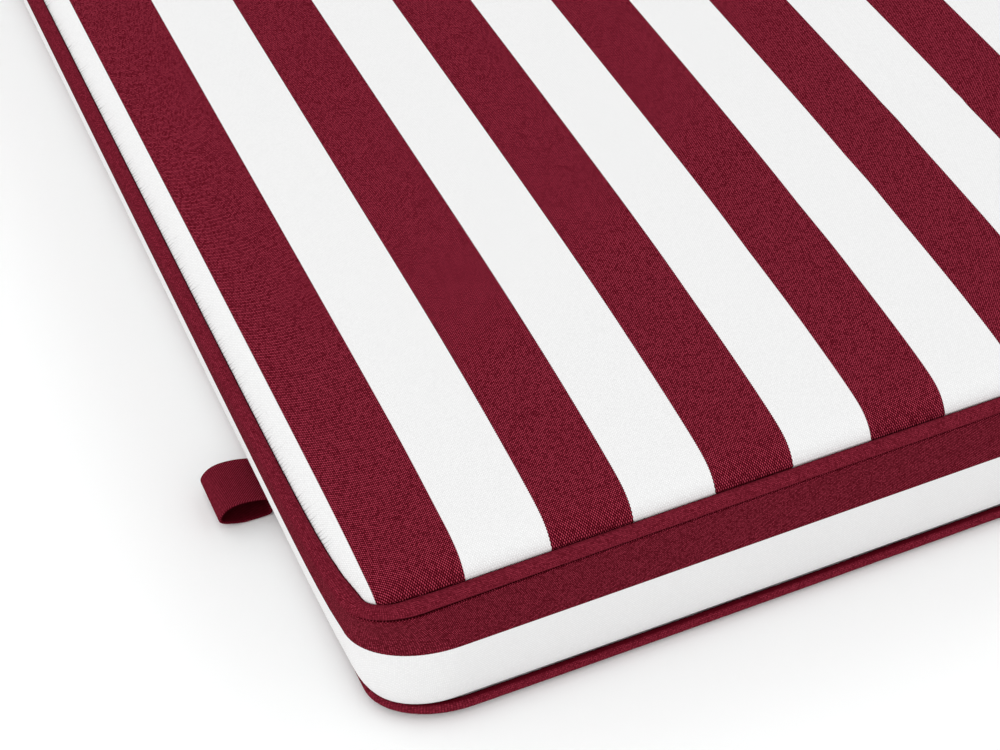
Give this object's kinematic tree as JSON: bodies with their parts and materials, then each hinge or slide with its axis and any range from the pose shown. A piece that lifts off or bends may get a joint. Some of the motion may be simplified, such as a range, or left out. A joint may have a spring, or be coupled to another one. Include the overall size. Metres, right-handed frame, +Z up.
{
  "type": "sun lounger cushion",
  "caption": "Long box cushion in striped canvas with a crowned top, boxed sides, piped seams and a ribbon loop at its lower edge, laid on a sun lounger to pad it.",
  "frame": {"origin": "middle of the flat underside, on the surface that the cushion lies on", "axes": "+Y along the length, away from the end beside the ribbon loop; +X across the width, away from the side that has the loop; +Z up through the crown"},
  "size_m": [0.6059, 1.9094, 0.0855],
  "materials": {
    "striped_canvas": "matt plain-woven canvas in equal wine red and white stripes along the length",
    "piping_cloth": "matt wine red canvas cut on the bias over a cord",
    "loop_tape": "matt wine red twill tape"
  },
  "bodies": {
    "root": {"cushion": "striped_canvas", "boxing_band": "striped_canvas", "piping_top": "piping_cloth", "piping_bottom": "piping_cloth", "ribbon_loop": "loop_tape"}
  },
  "joints": []
}
